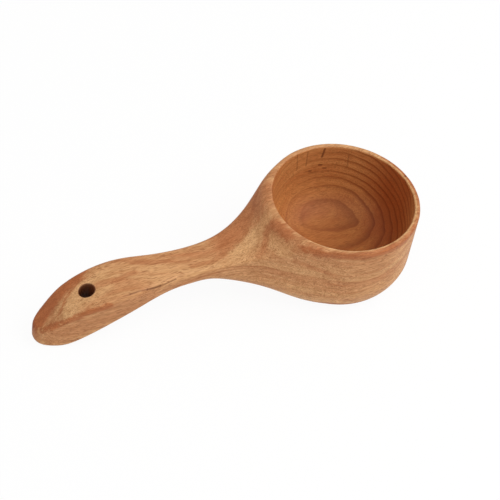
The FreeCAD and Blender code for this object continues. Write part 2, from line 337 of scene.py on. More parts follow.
@dataclass
class SurfaceNet:
    """An even quad mesh over a form's surface.

    Attributes:
        form: The form to cover.
        cell: The size of the grid's cells.
        fine_cell: The height of the cells near the rim, where the edges are small.
        fine_depth: How far below the rim they start.
        below: How far the grid goes below the foot.
        above: How far it goes above the rim.
        passes: How often each corner is moved onto the surface.
        least_slope: The least square of the slope that such a move reckons with.
    """

    form: CarvedForm
    cell: float = 0.9
    fine_cell: float = 0.45
    fine_depth: float = 3.0
    below: float = 1.3
    above: float = 1.5
    passes: int = 3
    least_slope: float = 0.25

    def columns(self) -> list[np.ndarray]:
        """Place the grid's planes.

        Returns:
            Their places along X, along Y and along Z.
        """
        form = self.form
        margin = 2 * self.cell
        x = np.arange(-form.reach - margin, form.cup_radius + margin, self.cell)
        half = np.arange(self.cell / 2, form.cup_radius + margin, self.cell)
        y = np.concatenate([-half[::-1], half])
        fine_from = form.cup_height - self.fine_depth
        z = np.concatenate([np.arange(-self.below, fine_from, self.cell),
                            np.arange(fine_from, form.cup_height + self.above, self.fine_cell)])
        return [x, y, z]

    def build(self) -> tuple[np.ndarray, np.ndarray]:
        """Find the surface's cells, join them by quads and move their corners onto the surface.

        Returns:
            The corners' places in millimetres, and four corner numbers for each quad.
        """
        columns = self.columns()
        shape = tuple(len(column) for column in columns)
        grid = np.stack(np.meshgrid(*columns, indexing="ij"), axis=-1)
        values = self.form.distance(grid.reshape(-1, 3)).reshape(shape)
        cells = tuple(count - 1 for count in shape)
        total = np.zeros(cells + (3,))
        count = np.zeros(cells, int)
        quads = []
        for axis in range(3):
            low = tuple(slice(0, -1) if a == axis else slice(None) for a in range(3))
            high = tuple(slice(1, None) if a == axis else slice(None) for a in range(3))
            first, second = values[low], values[high]
            crossed = (first < 0) != (second < 0)
            share = np.where(crossed, first / np.where(crossed, first - second, 1), 0)
            place = grid[low] + share[..., None] * (grid[high] - grid[low])
            others = [a for a in range(3) if a != axis]
            for shift in ((0, 0), (0, 1), (1, 0), (1, 1)):
                pick = [slice(None)] * 3
                for a, s in zip(others, shift):
                    pick[a] = slice(s, s + cells[a])
                pick = tuple(pick)
                total += np.where(crossed[pick][..., None], place[pick], 0)
                count += crossed[pick]
            quads.append(self._quads_across(axis, others, crossed, first < 0, cells))
        used = count > 0
        number = np.full(cells, -1)
        number[used] = np.arange(int(used.sum()))
        corners = total[used] / count[used][:, None]
        faces = number[tuple(np.moveaxis(np.concatenate(quads), -1, 0))]
        for _ in range(self.passes):
            slope = self.form.slope(corners)
            steepness = np.maximum(np.einsum("ij,ij->i", slope, slope), self.least_slope)
            corners = corners - slope * (self.form.distance(corners) / steepness)[:, None]
        return corners, faces

    @staticmethod
    def _quads_across(axis: int, others: list[int], crossed: np.ndarray, starts_inside: np.ndarray,
                      cells: tuple[int, ...]) -> np.ndarray:
        """The quads that stand across the grid's crossed edges of one direction.

        Args:
            axis: The edges' direction.
            others: The two other directions.
            crossed: Which edges the surface crosses.
            starts_inside: Which edges start in the wood.
            cells: How many cells the grid has each way.

        Returns:
            Cell places, four to a quad, in the order that turns the quad outwards.
        """
        inner = [slice(None)] * 3
        for a in others:
            inner[a] = slice(1, cells[a])
        at = np.argwhere(crossed[tuple(inner)])
        for a in others:
            at[:, a] += 1
        ring = [(1, 1), (0, 1), (0, 0), (1, 0)]
        corners = []
        for back in ring:
            cell = at.copy()
            for a, step in zip(others, back):
                cell[:, a] -= step
            corners.append(cell)
        quads = np.stack(corners, axis=1)
        outward = starts_inside[tuple(at.T)]
        if axis == 1:
            outward = ~outward
        quads[~outward] = quads[~outward][:, ::-1]
        return quads


def linear(hex_colour: str) -> tuple[float, float, float, float]:
    """The linear colour of an sRGB hex value, such as "#C08C5A"."""
    channels = [int(hex_colour[at:at + 2], 16) / 255 for at in (1, 3, 5)]
    return tuple(c / 12.92 if c <= 0.04045 else ((c + 0.055) / 1.055) ** 2.4 for c in channels) + (1.0,)


def add_node(tree: bpy.types.NodeTree, kind: str, inputs: dict | None = None,
             **settings: object) -> bpy.types.Node:
    """Add a node, choose its settings, and fill or link its inputs.

    Args:
        tree: The tree that gets it.
        kind: The node's type.
        inputs: Input names or numbers, each with a value or a socket to link.
        **settings: The node's own properties.

    Returns:
        The new node.
    """
    node = tree.nodes.new(kind)
    for name, value in settings.items():
        setattr(node, name, value)
    for key, value in (inputs or {}).items():
        if isinstance(value, bpy.types.NodeSocket):
            tree.links.new(value, node.inputs[key])
        else:
            node.inputs[key].default_value = value
    return node


@dataclass(frozen=True)
class FigureOrPaintedLight:
    """A line or patch of colour which follows a path on the surface, for the wood's figure and for painted
    shade and painted light.

    Attributes:
        path: Points of the path, in millimetres.
        width: How far from the path the figure fades out.
        depth: How strong it is, from 0 to 1.
        tone: How pale it is there, from 0 for the reddest to 1 for the palest.
        solid: How much of the width is full before the figure starts to fade.
    """

    path: tuple[tuple[float, float, float], ...]
    width: float
    depth: float
    tone: float = 0.0
    solid: float = 0.2


@dataclass(frozen=True)
class FigureAndPaintedLight:
    """The ladle's own patches, lines and dark spots of figure, and its painted shade and painted light.

    Attributes:
        patches: Places where the wood is redder or paler than its layer, and places painted redder or paler
            as painted shade and painted light.
        lip_highlight: A painted highlight, a pale line along the bowl's inner lip.
        flecks_and_shade: Dark spots, painted shade along the handle's ridge where its lit top meets its
            shaded side, and painted shade in the hole.
    """

    patches: tuple[FigureOrPaintedLight, ...] = (
        # The red sweep up the flare, the pale wood round the hole and the red band past it; and painted
        # shade, red on the tail's far-left face, which turns away from the key lamp
        FigureOrPaintedLight(((-66, 6, 35), (-50, 14, 42), (-40, 19, 50)), 14.0, 0.75, 0.08),
        FigureOrPaintedLight(((-162, -5, 22), (-152, -1.5, 27.5), (-141, 0, 30.8)), 8.5, 0.75, 1.0, 0.5),
        # Painted shade on the tail's far-left face, turned away from the key lamp
        FigureOrPaintedLight(((-174, 3, 12), (-161, 10, 24.5), (-150, 14.5, 28)), 8.0, 1.0, 0.0, 0.55),
        FigureOrPaintedLight(((-143.9, 0.5, 30.4), (-133.3, -0.7, 32.2), (-122.8, 0.3, 32.9)), 3.2, 0.6, 0.1),
        # Pale and red tongues where the handle rises to the rim
        FigureOrPaintedLight(((-66.4, -5.9, 35.1), (-53, -0.8, 41), (-47.6, 0.7, 46.3)), 6.5, 0.8, 1.0),
        FigureOrPaintedLight(((-47.3, -11.3, 45.1), (-45, -20.3, 44.2)), 6.5, 0.7, 1.0),
        FigureOrPaintedLight(((-44.8, -4.8, 49.4), (-41.1, -15.3, 50.2)), 5.5, 0.8, 0.0),
        FigureOrPaintedLight(((-48, -4, 45.7), (-50.3, -8.6, 42.5), (-53.4, -13.3, 39.8)), 3.2, 0.5, 0.0),
        # Thin lines along the neck and past the hole
        FigureOrPaintedLight(((-91.1, -5, 32.6), (-77.8, -5.4, 33), (-68.7, -2.5, 34.5), (-57.9, 2, 38.3),
                (-48.5, 5, 45.5)), 2.4, 0.45, 0.0),
        FigureOrPaintedLight(((-166.5, -5, 19.5), (-159, 1.5, 25), (-148, 9.5, 29)), 1.6, 0.7, 0.0),
        # The red line round the rim, and streaks under it
        FigureOrPaintedLight(((-37, -25.5, 48.9), (-31, -31, 48.9), (-16.5, -38.9, 49.0), (0.6, -42.3, 49.2),
                (15, -39.8, 49.2), (29, -31, 49.2), (38, -19, 49.2), (42.3, -5, 49.2), (42, 9, 49.2)),
               3.0, 0.85, 0.0, 0.3),
        FigureOrPaintedLight(((-40, -26, 40), (-27, -33.8, 35.3), (-19, -38, 31.2)), 2.6, 0.35, 0.0),
        FigureOrPaintedLight(((-34, -30, 46.4), (-24, -35.5, 46.2)), 1.6, 0.5, 0.0),
        # Painted shade on the tail's near side, duller than its lit top, and the red line under its ridge
        FigureOrPaintedLight(((-169, -8.5, 8), (-152, -13.5, 17), (-136, -14, 23), (-118, -13, 26)),
               7.0, 0.7, 0.4, 0.6),
        FigureOrPaintedLight(((-174, -5, 12), (-164, -9.5, 20), (-152, -12.3, 26), (-141, -13.2, 28.8)),
               2.6, 0.85, 0.0, 0.3),
        # Painted bounce light from the floor on the cup's lower near side, and painted shade at the cup's
        # right end, red most of all on the bowl's right inner wall and rim
        FigureOrPaintedLight(((-38, -24, 7), (-20, -37, 6), (0, -41, 6), (20, -36, 7)), 11.0, 0.8, 1.0),
        FigureOrPaintedLight(((40, -6, 12), (41, 4, 30), (41, 4, 48)), 28.0, 0.85, 0.0))
    # Painted highlight: a pale line along the near and right part of the bowl's inner lip
    lip_highlight: FigureOrPaintedLight = FigureOrPaintedLight(tuple(
        (39.85 * math.cos(turn * math.pi / 15), 39.85 * math.sin(turn * math.pi / 15), 50.75)
        for turn in range(-12, 4)), 1.0, 0.9, 1.0, 0.5)
    flecks_and_shade: tuple[FigureOrPaintedLight, ...] = (
        # Painted shade: a dark line along the handle's ridge, where its lit top meets its shaded near side
        FigureOrPaintedLight(((-146, -12.7, 28.2), (-137.9, -12.8, 30.4), (-129.6, -12.3, 31.9)), 0.7, 0.45),
        FigureOrPaintedLight(((-129.6, -12.3, 31.9), (-125, -11.9, 32.1), (-119.8, -11.8, 31.7)), 0.8, 0.7),
        FigureOrPaintedLight(((-119.8, -11.8, 31.7), (-116.3, -11.6, 31.3), (-112, -11, 31.1)), 0.95, 0.85),
        FigureOrPaintedLight(((-112, -11, 31.1), (-107.1, -10.4, 31.1), (-102.5, -9.7, 31.4)), 0.8, 0.6),
        # Streaks and spots on the bowl's far wall, and one spot on the rim
        FigureOrPaintedLight(((8.1, 38.3, 49.4), (7.2, 38.1, 43.6)), 1.0, 0.7),
        FigureOrPaintedLight(((-2.2, 39.1, 49.4), (-2, 38.5, 38.9)), 0.7, 0.4),
        FigureOrPaintedLight(((-9.4, 38.1, 50.2), (-8, 37.7, 38.3)), 0.7, 0.35),
        FigureOrPaintedLight(((21.2, 32.7, 46), (21.3, 32, 37.1)), 0.7, 0.35),
        FigureOrPaintedLight(((6.2, 38, 37.7), (7.7, 37.7, 37.5)), 1.0, 0.7),
        FigureOrPaintedLight(((8.9, 37.3, 35.1), (10.6, 36.9, 35)), 0.9, 0.6),
        FigureOrPaintedLight(((0.6, 38.3, 34.3), (1.9, 38.3, 34)), 0.9, 0.6),
        FigureOrPaintedLight(((40.6, 3.6, 51), (41.1, 3.6, 51)), 0.9, 0.95),
        # Painted shade inside the bored hole
        FigureOrPaintedLight(((CarvedForm.hole_at, 0, 14.5), (CarvedForm.hole_at, 0, 20.3)), 10.0, 0.97),
        FigureOrPaintedLight(((CarvedForm.hole_at, 0, 18), (CarvedForm.hole_at, 0, 29.2)), 4.9, 0.9, solid=0.85))


@dataclass(frozen=True)
class OiledBeech:
    """Sanded and oiled beech.

    The wood is steamed beech, warm orange-brown. Its growth layers lie nearly flat and tip towards the
    near side, so they show as long bands on the handle, as nested rings in the bowl and as slanting
    tongues where the handle rises or droops. Its pores and ray ends are short dark dashes along the
    fibre. The ends, where fibres are cut across, drink more oil and are redder. The turned bowl gets
    painted shade, redder on its walls and darker towards its floor, and a few patches paint shade and
    light onto other faces.

    Attributes:
        layer_normal: The direction across the growth layers.
        layer_mm: One year's growth, as the rings in the bowl are apart.
        first_layer_mm: Where a layer starts, measured along the layer normal.
        lowest_layer: The number of the first layer that layer_tones names.
        layer_tones: How pale each layer is, from 0 for the reddest to 1 for the palest.
        pale: The palest wood.
        red: The reddest wood.
        uneven: How much the slow drift and the thin plates change a layer's paleness.
        line: The dark line that ends a year's growth.
        line_share: How strong it is outside the bowl, at most.
        ring_shares: How strong it is in the bowl, at the middle and at the far end.
        dash: The pores and ray ends.
        dash_mm: Length of the dashes.
        dash_width_mm: Their width. Real ones are half as wide, and are drawn as coarse as it takes to show.
        fibre_mm: Width of the fine streaks.
        fibre_tints: What the colour is multiplied by in their dark and their pale parts.
        band_mm: Length and width of the long soft streaks.
        band_tints: The same as fibre_tints, for these.
        grain_wander: How far the wood's fibre waves each way.
        plate_mm: Length, width and thickness of the thin plates that a layer is made of.
        wall_shade_tint: Painted shade, what the colour of the bowl's wall is multiplied by.
        floor_shade_tint: The same painted shade for the bowl's floor, which is darker.
        bowl_shade_heights: The heights between which the floor's painted shade turns to the wall's.
        end_tint: What the colour is multiplied by where the surface cuts across the fibre.
        bowl_shares: How much of the long streaks, the dashes and the end tint shows in the bowl.
        bowl_radius: How far from the cup's axis the bowl reaches.
        bowl_depth: The heights between which it lies.
        roughness: The oiled surface's roughness.
        shine: How much of the usual reflection it keeps, because sanded fibres scatter the rest.
        fleck_and_shade: The colour of the dark spots, of the painted shade along the handle's ridge and of
            the painted shade in the hole.
        figure: The ladle's own patches and dark spots, with its painted shade and painted light.
    """

    layer_normal: tuple[float, float, float] = (-0.12, -0.35, 0.93)
    layer_mm: float = 4.2
    first_layer_mm: float = 0.3
    lowest_layer: int = -1
    layer_tones: tuple[float, ...] = (0.66, 0.74, 0.77, 0.74, 0.77, 0.74, 0.78, 0.66, 0.74, 0.62, 0.5, 0.8,
                                      0.6, 0.7, 0.55, 0.45)
    pale: str = "#DFAF7B"
    red: str = "#B2683A"
    uneven: tuple[float, float] = (0.5, 1.2)
    line: str = "#8E4E25"
    line_share: float = 0.25
    ring_shares: tuple[float, float] = (0.25, 0.85)
    dash: str = "#84481F"
    dash_mm: float = 3.6
    dash_width_mm: float = 0.42
    fibre_mm: float = 0.5
    fibre_tints: tuple = ((0.82, 0.78, 0.74, 1), (1.12, 1.12, 1.12, 1))
    band_mm: tuple[float, float] = (38.0, 1.9)
    band_tints: tuple = ((0.86, 0.80, 0.73, 1), (1.04, 1.04, 1.04, 1))
    grain_wander: tuple[float, float, float] = (0.0, 3.0, 3.0)
    plate_mm: tuple[float, float, float] = (40.0, 14.0, 1.2)
    # Painted shade in the bowl: redder on its walls, darker towards its floor
    wall_shade_tint: tuple[float, float, float, float] = (0.98, 0.79, 0.57, 1.0)
    floor_shade_tint: tuple[float, float, float, float] = (0.66, 0.43, 0.23, 1.0)
    bowl_shade_heights: tuple[float, float] = (10.0, 34.0)
    end_tint: tuple[float, float, float, float] = (0.70, 0.52, 0.40, 1.0)
    bowl_shares: tuple[float, float, float] = (0.25, 0.85, 0.3)
    bowl_radius: float = CarvedForm.bowl_radius + 0.4
    bowl_depth: tuple[float, float] = (4.0, 50.6)
    roughness: float = 0.56
    shine: float = 0.3
    # Colour of the dark spots and of the painted shade on the ridge and in the hole
    fleck_and_shade: str = "#5A280D"
    figure: FigureAndPaintedLight = FigureAndPaintedLight()

    def build(self) -> bpy.types.Material:
        """Make the material.

        Returns:
            The finished material.
        """
        material = bpy.data.materials.new("oiled beech")
        material.use_nodes = True
        tree = material.node_tree
        tree.nodes.clear()
        here = add_node(tree, "ShaderNodeTexCoord").outputs["Object"]
        place = add_node(tree, "ShaderNodeMapping", {0: here, "Scale": (1 / MM,) * 3}).outputs[0]
        grain = self._wander(tree, place, (0.035, 0.09, 0.09), self.grain_wander)
        frayed = self._wander(tree, place, (0.12, 0.5, 0.5), (9.0, 3.0, 3.0), 0.5)
        bowl = self._in_bowl(tree, place)
        bands_left, dashes_left, ends_left = [
            add_node(tree, "ShaderNodeMapRange", {0: bowl, 3: 1.0, 4: share}).outputs[0]
            for share in self.bowl_shares]
        tone, line = self._layers(tree, grain, bowl)
        # Patches of redder and paler wood, some of them painted shade and painted light
        for patch in self.figure.patches:
            tone = add_node(tree, "ShaderNodeMix", {
                0: self._near(tree, frayed, patch), 2: tone, 3: patch.tone}).outputs[0]
        # Painted highlight along the bowl's inner lip
        lip = self.figure.lip_highlight
        tone = add_node(tree, "ShaderNodeMix", {
            0: self._near(tree, place, lip), 2: tone, 3: lip.tone}).outputs[0]
        dashes = self._streaks(tree, grain, self.dash_mm, self.dash_width_mm, (0.5, 0.62), 1.0)
        fibre = self._streaks(tree, grain, 12 * self.fibre_mm, self.fibre_mm, (0.25, 0.75), 3.0)
        colour = self._mix(tree, tone, linear(self.red), linear(self.pale))
        colour = self._mix(tree, line, colour, linear(self.line))
        streak = self._mix(tree, fibre, *self.fibre_tints)
        colour = self._mix(tree, 1.0, colour, streak, "MULTIPLY")
        bands = self._streaks(tree, grain, *self.band_mm, (0.36, 0.6), 2.0)
        streak = self._mix(tree, bands, *self.band_tints)
        colour = self._mix(tree, bands_left, colour, streak, "MULTIPLY")
        # Painted shade in the bowl: redder on its walls, darker towards its floor
        height = add_node(tree, "ShaderNodeSeparateXYZ", {0: place}).outputs[2]
        low, high = self.bowl_shade_heights
        risen = add_node(tree, "ShaderNodeMapRange", {0: height, 1: low, 2: high}).outputs[0]
        bowl_shade = self._mix(tree, risen, self.floor_shade_tint, self.wall_shade_tint)
        colour = self._mix(tree, bowl, colour, bowl_shade, "MULTIPLY")
        colour = self._mix(tree, self._cut_across(tree, ends_left), colour, self.end_tint, "MULTIPLY")
        share = add_node(tree, "ShaderNodeMath", {
            0: self._fewer(tree, grain, dashes), 1: dashes_left}, operation="MULTIPLY").outputs[0]
        colour = self._mix(tree, share, colour, linear(self.dash))
        # Dark spots, and painted shade along the handle's ridge and in the hole
        for fleck_and_shade in self.figure.flecks_and_shade:
            colour = self._mix(tree, self._near(tree, place, fleck_and_shade), colour, linear(self.fleck_and_shade))
        bump = add_node(tree, "ShaderNodeBump", {
            "Height": fibre, "Strength": 0.2, "Distance": 0.0001}).outputs[0]
        rough = add_node(tree, "ShaderNodeMapRange", {
            0: fibre, 3: self.roughness + 0.06, 4: self.roughness - 0.06}).outputs[0]
        shader = add_node(tree, "ShaderNodeBsdfPrincipled", {
            "Base Color": colour, "Roughness": rough, "Normal": bump, "IOR": 1.47,
            "Specular IOR Level": self.shine})
        add_node(tree, "ShaderNodeOutputMaterial", {0: shader.outputs[0]})
        return material

    @staticmethod
    def _mix(tree: bpy.types.NodeTree, share: object, first: object, second: object,
             way: str = "MIX") -> bpy.types.NodeSocket:
        """Mix two colours.

        Args:
            tree: The material's tree.
            share: How much of the second there is, a number or a socket.
            first: A colour or a socket.
            second: A colour or a socket.
            way: The node's blend type.

        Returns:
            The mixed colour.
        """
        return add_node(tree, "ShaderNodeMix", {0: share, 6: first, 7: second},
                        data_type="RGBA", blend_type=way).outputs[2]

    @staticmethod
    def _wander(tree: bpy.types.NodeTree, place: bpy.types.NodeSocket, scale: tuple[float, float, float],
                reach: tuple[float, float, float], middle: float = 0.0) -> bpy.types.NodeSocket:
        """Coordinates that wave a little, because a trunk isn't straight and its figure has no hard edge.

        Args:
            tree: The material's tree.
            place: Coordinates in millimetres.
            scale: Waves per millimetre each way.
            reach: How far they go each way, in millimetres.
            middle: The noise value that leaves a point where it is.

        Returns:
            Waved coordinates in millimetres.
        """
        drawn = add_node(tree, "ShaderNodeMapping", {0: place, "Scale": scale}).outputs[0]
        noise = add_node(tree, "ShaderNodeTexNoise", {
            "Vector": drawn, "Scale": 1.0, "Detail": 2.0, "Roughness": 0.45}).outputs["Color"]
        centred = add_node(tree, "ShaderNodeVectorMath", {0: noise, 1: (middle,) * 3},
                           operation="SUBTRACT").outputs[0]
        return add_node(tree, "ShaderNodeVectorMath", {
            0: centred, 1: reach, 2: place}, operation="MULTIPLY_ADD").outputs[0]

    def _in_bowl(self, tree: bpy.types.NodeTree, place: bpy.types.NodeSocket) -> bpy.types.NodeSocket:
        """Whether a point is on the bowl's inner face.

        Args:
            tree: The material's tree.
            place: Coordinates in millimetres.

        Returns:
            A value from 0 to 1.
        """
        flat = add_node(tree, "ShaderNodeVectorMath", {0: place, 1: (1, 1, 0)},
                        operation="MULTIPLY").outputs[0]
        out = add_node(tree, "ShaderNodeVectorMath", {0: flat}, operation="LENGTH").outputs["Value"]
        height = add_node(tree, "ShaderNodeSeparateXYZ", {0: place}).outputs[2]
        low, high = self.bowl_depth
        near = add_node(tree, "ShaderNodeMapRange", {
            0: out, 1: self.bowl_radius - 0.3, 2: self.bowl_radius + 0.3, 3: 1.0, 4: 0.0}).outputs[0]
        under = add_node(tree, "ShaderNodeMapRange", {
            0: height, 1: high - 0.3, 2: high + 0.3, 3: 1.0, 4: 0.0}).outputs[0]
        over = add_node(tree, "ShaderNodeMath", {0: height, 1: low}, operation="GREATER_THAN").outputs[0]
        inside = add_node(tree, "ShaderNodeMath", {0: near, 1: under}, operation="MULTIPLY").outputs[0]
        return add_node(tree, "ShaderNodeMath", {0: inside, 1: over}, operation="MULTIPLY").outputs[0]

    def _layers(self, tree: bpy.types.NodeTree, grain: bpy.types.NodeSocket,
                bowl: bpy.types.NodeSocket) -> tuple[bpy.types.NodeSocket, bpy.types.NodeSocket]:
        """Growth layers.

        Args:
            tree: The material's tree.
            grain: The wood's coordinates.
            bowl: Whether a point is in the bowl, where the lines show more.

        Returns:
            How pale the wood is, and how much of a layer's dark line there is.
        """
        normal = Vector(self.layer_normal).normalized()
        depth = add_node(tree, "ShaderNodeVectorMath", {0: grain, 1: normal},
                         operation="DOT_PRODUCT").outputs["Value"]
        waved = 0.5 * normal.dot(self.grain_wander)  # the wandering noise has a mean of a half
        count = add_node(tree, "ShaderNodeMath", {
            0: depth, 1: 1 / self.layer_mm, 2: -(self.first_layer_mm + waved) / self.layer_mm},
            operation="MULTIPLY_ADD").outputs[0]
        within = add_node(tree, "ShaderNodeMath", {0: count}, operation="FRACT").outputs[0]
        rise = add_node(tree, "ShaderNodeMapRange", {
            0: within, 1: 0.5, 2: 0.95}, interpolation_type="SMOOTHSTEP").outputs[0]
        fall = add_node(tree, "ShaderNodeMapRange", {
            0: within, 1: 0.93, 2: 1.0, 3: 1.0, 4: 0.0}).outputs[0]
        line = add_node(tree, "ShaderNodeMath", {0: rise, 1: fall}, operation="MULTIPLY").outputs[0]
        patchy = add_node(tree, "ShaderNodeMapping", {0: grain, "Scale": (0.05, 0.16, 0.16)}).outputs[0]
        patchy = add_node(tree, "ShaderNodeTexNoise", {
            "Vector": patchy, "Scale": 1.0, "Detail": 3.0}).outputs[0]
        outside = add_node(tree, "ShaderNodeMapRange", {
            0: patchy, 1: 0.42, 2: 0.7, 3: 0.0, 4: self.line_share}).outputs[0]
        along = add_node(tree, "ShaderNodeSeparateXYZ", {0: grain}).outputs[0]
        middle, far = self.ring_shares
        inside = add_node(tree, "ShaderNodeMapRange", {
            0: along, 1: 0.0, 2: 34.0, 3: middle, 4: far}).outputs[0]
        shown = add_node(tree, "ShaderNodeMix", {0: bowl, 2: outside, 3: inside}).outputs[0]
        line = add_node(tree, "ShaderNodeMath", {0: line, 1: shown}, operation="MULTIPLY").outputs[0]
        layers = len(self.layer_tones)
        share = add_node(tree, "ShaderNodeMapRange", {
            0: count, 1: self.lowest_layer, 2: self.lowest_layer + layers}).outputs[0]
        ramp = add_node(tree, "ShaderNodeValToRGB", {0: share})
        stops = ramp.color_ramp.elements
        edge = 0.12 / layers
        stops[0].color = (self.layer_tones[0],) * 3 + (1,)
        stops[1].color = (self.layer_tones[-1],) * 3 + (1,)
        for index in range(1, layers):
            for at, tone in ((-edge, self.layer_tones[index - 1]), (edge, self.layer_tones[index])):
                stops.new(index / layers + at).color = (tone,) * 3 + (1,)
        slow = add_node(tree, "ShaderNodeMapping", {0: grain, "Scale": (0.02, 0.07, 0.07)}).outputs[0]
        drift = add_node(tree, "ShaderNodeTexNoise", {
            "Vector": slow, "Scale": 1.0, "Detail": 4.0}).outputs[0]
        tone = add_node(tree, "ShaderNodeMath", {
            0: drift, 1: self.uneven[0], 2: ramp.outputs[0]}, operation="MULTIPLY_ADD").outputs[0]
        tone = add_node(tree, "ShaderNodeMath", {
            0: self._plates(tree, grain), 1: self.uneven[1], 2: tone},
            operation="MULTIPLY_ADD").outputs[0]
        tone = add_node(tree, "ShaderNodeMath", {0: tone, 1: sum(self.uneven) / 2},
                        operation="SUBTRACT", use_clamp=True).outputs[0]
        return tone, line

    def _plates(self, tree: bpy.types.NodeTree, grain: bpy.types.NodeSocket) -> bpy.types.NodeSocket:
        """Thin plates within the layers, long streaks where a face cuts them steeply.

        Args:
            tree: The material's tree.
            grain: The wood's coordinates.

        Returns:
            Noise round 0.5.
        """
        across, tilt, up = self.layer_normal
        turned = add_node(tree, "ShaderNodeMapping", {
            0: grain, "Rotation": (math.atan2(tilt, up), -math.atan2(across, up), 0)}).outputs[0]
        drawn = add_node(tree, "ShaderNodeVectorMath", {
            0: turned, 1: (1 / self.plate_mm[0], 1 / self.plate_mm[1], 1 / self.plate_mm[2])},
            operation="MULTIPLY").outputs[0]
        return add_node(tree, "ShaderNodeTexNoise", {
            "Vector": drawn, "Scale": 1.0, "Detail": 3.0, "Roughness": 0.6}).outputs[0]

    @staticmethod
    def _streaks(tree: bpy.types.NodeTree, grain: bpy.types.NodeSocket, length: float, width: float,
                 between: tuple[float, float], detail: float) -> bpy.types.NodeSocket:
        """Streaks along the fibre.

        Args:
            tree: The material's tree.
            grain: The wood's coordinates.
            length: A streak's length.
            width: Its width.
            between: The noise values that become 0 and 1.
            detail: How ragged the streaks are.

        Returns:
            A value from 0 to 1.
        """
        drawn = add_node(tree, "ShaderNodeMapping", {0: grain, "Scale": (
            1 / length, 1 / width, 1 / width)}).outputs[0]
        noise = add_node(tree, "ShaderNodeTexNoise", {
            "Vector": drawn, "Scale": 1.0, "Detail": detail, "Roughness": 0.6}).outputs[0]
        return add_node(tree, "ShaderNodeMapRange", {0: noise, 1: between[0], 2: between[1]}).outputs[0]

    @staticmethod
    def _fewer(tree: bpy.types.NodeTree, grain: bpy.types.NodeSocket,
               dashes: bpy.types.NodeSocket) -> bpy.types.NodeSocket:
        """Thin out the dashes here and there.

        Args:
            tree: The material's tree.
            grain: The wood's coordinates.
            dashes: How much of a dash there is.

        Returns:
            The same, fainter in patches.
        """
        patch = add_node(tree, "ShaderNodeMapping", {0: grain, "Scale": (0.09, 0.3, 0.3)}).outputs[0]
        patch = add_node(tree, "ShaderNodeTexNoise", {"Vector": patch, "Scale": 1.0}).outputs[0]
        kept = add_node(tree, "ShaderNodeMapRange", {
            0: patch, 1: 0.35, 2: 0.65, 3: 0.3, 4: 0.62}).outputs[0]
        return add_node(tree, "ShaderNodeMath", {0: dashes, 1: kept}, operation="MULTIPLY").outputs[0]

    @staticmethod
    def _cut_across(tree: bpy.types.NodeTree, most: bpy.types.NodeSocket) -> bpy.types.NodeSocket:
        """How much the surface cuts across the fibre instead of along it.

        Args:
            tree: The material's tree.
            most: The value where it cuts straight across.

        Returns:
            A value from 0 to the most.
        """
        normal = add_node(tree, "ShaderNodeNewGeometry").outputs["Normal"]
        along = add_node(tree, "ShaderNodeSeparateXYZ", {0: normal}).outputs[0]
        turned = add_node(tree, "ShaderNodeMath", {0: along}, operation="ABSOLUTE").outputs[0]
        return add_node(tree, "ShaderNodeMapRange", {0: turned, 1: 0.6, 2: 0.95, 4: most}).outputs[0]

    @staticmethod
    def _near(tree: bpy.types.NodeTree, place: bpy.types.NodeSocket,
              figure: FigureOrPaintedLight) -> bpy.types.NodeSocket:
        """How close a point is to a mark's path.

        Args:
            tree: The material's tree.
            place: Coordinates in millimetres.
            figure: The mark to measure to; marks stand for the wood's figure and for painted shade and
                painted light.

        Returns:
            A value from 0 away from the path to the mark's depth on it.
        """
        nearest = None
        for start, end in zip(figure.path, figure.path[1:]):
            run = Vector(end) - Vector(start)
            offset = add_node(tree, "ShaderNodeVectorMath", {0: place, 1: start},
                              operation="SUBTRACT").outputs[0]
            share = add_node(tree, "ShaderNodeVectorMath", {0: offset, 1: run / run.length_squared},
                             operation="DOT_PRODUCT").outputs["Value"]
            share = add_node(tree, "ShaderNodeClamp", {0: share}).outputs[0]
            foot = add_node(tree, "ShaderNodeVectorMath", {0: run, "Scale": share},
                            operation="SCALE").outputs[0]
            gap = add_node(tree, "ShaderNodeVectorMath", {0: offset, 1: foot},
                           operation="DISTANCE").outputs["Value"]
            nearest = gap if nearest is None else add_node(
                tree, "ShaderNodeMath", {0: nearest, 1: gap}, operation="MINIMUM").outputs[0]
        return add_node(tree, "ShaderNodeMapRange", {
            0: nearest, 1: figure.solid * figure.width, 2: figure.width, 3: figure.depth, 4: 0.0},
            interpolation_type="SMOOTHSTEP").outputs[0]


